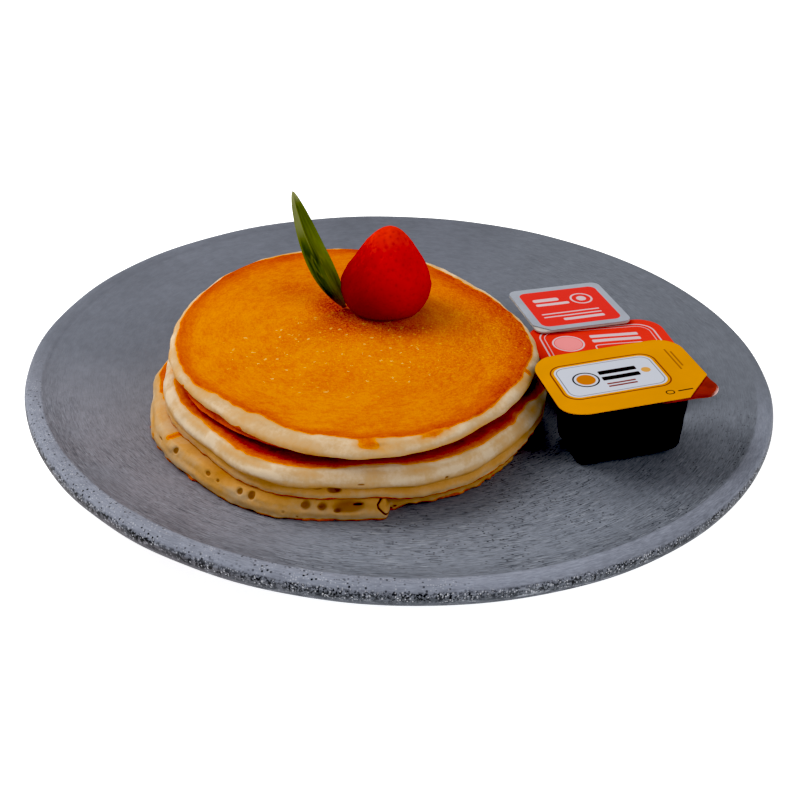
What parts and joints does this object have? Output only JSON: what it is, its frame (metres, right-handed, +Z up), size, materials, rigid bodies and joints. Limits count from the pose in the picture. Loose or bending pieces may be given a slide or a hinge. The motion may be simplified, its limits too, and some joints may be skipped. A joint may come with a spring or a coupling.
{
  "type": "pancake stack on a plate",
  "caption": "Stack of browned pancakes with a strawberry and a leaf on a round speckled stoneware plate, beside shut portion packs of syrup, jam and butter.",
  "frame": {"origin": "middle of the plate's foot, on the table", "axes": "+Z up, +X to the plate's right where the portion packs lie, +Y to its back"},
  "size_m": [0.2776, 0.2776, 0.0814],
  "materials": {
    "stoneware": "satin blue-grey glaze with fine dark and pale specks and brushed arcs",
    "pancake": null,
    "berry": null,
    "leaf": null,
    "syrup_tub": "clear plastic tub full of very dark brown syrup",
    "syrup_lid": "printed yellow-orange peel lid with a pale panel and plain shapes",
    "jam_lid": "printed red peel lid with pale outlines",
    "butter_lid": "satin foil lid with a red printed panel and pale strokes",
    "pale_tub": "thin milky thermoformed plastic"
  },
  "bodies": {
    "root": {"plate": "stoneware", "pancake_bottom": "pancake", "pancake_middle": "pancake", "pancake_top": "pancake", "strawberry": "berry", "leaf": "leaf", "syrup_tub": "syrup_tub", "syrup_lid": "syrup_lid", "jam_tub": "pale_tub", "jam_lid": "jam_lid", "butter_tub": "pale_tub", "butter_lid": "butter_lid"}
  },
  "joints": []
}
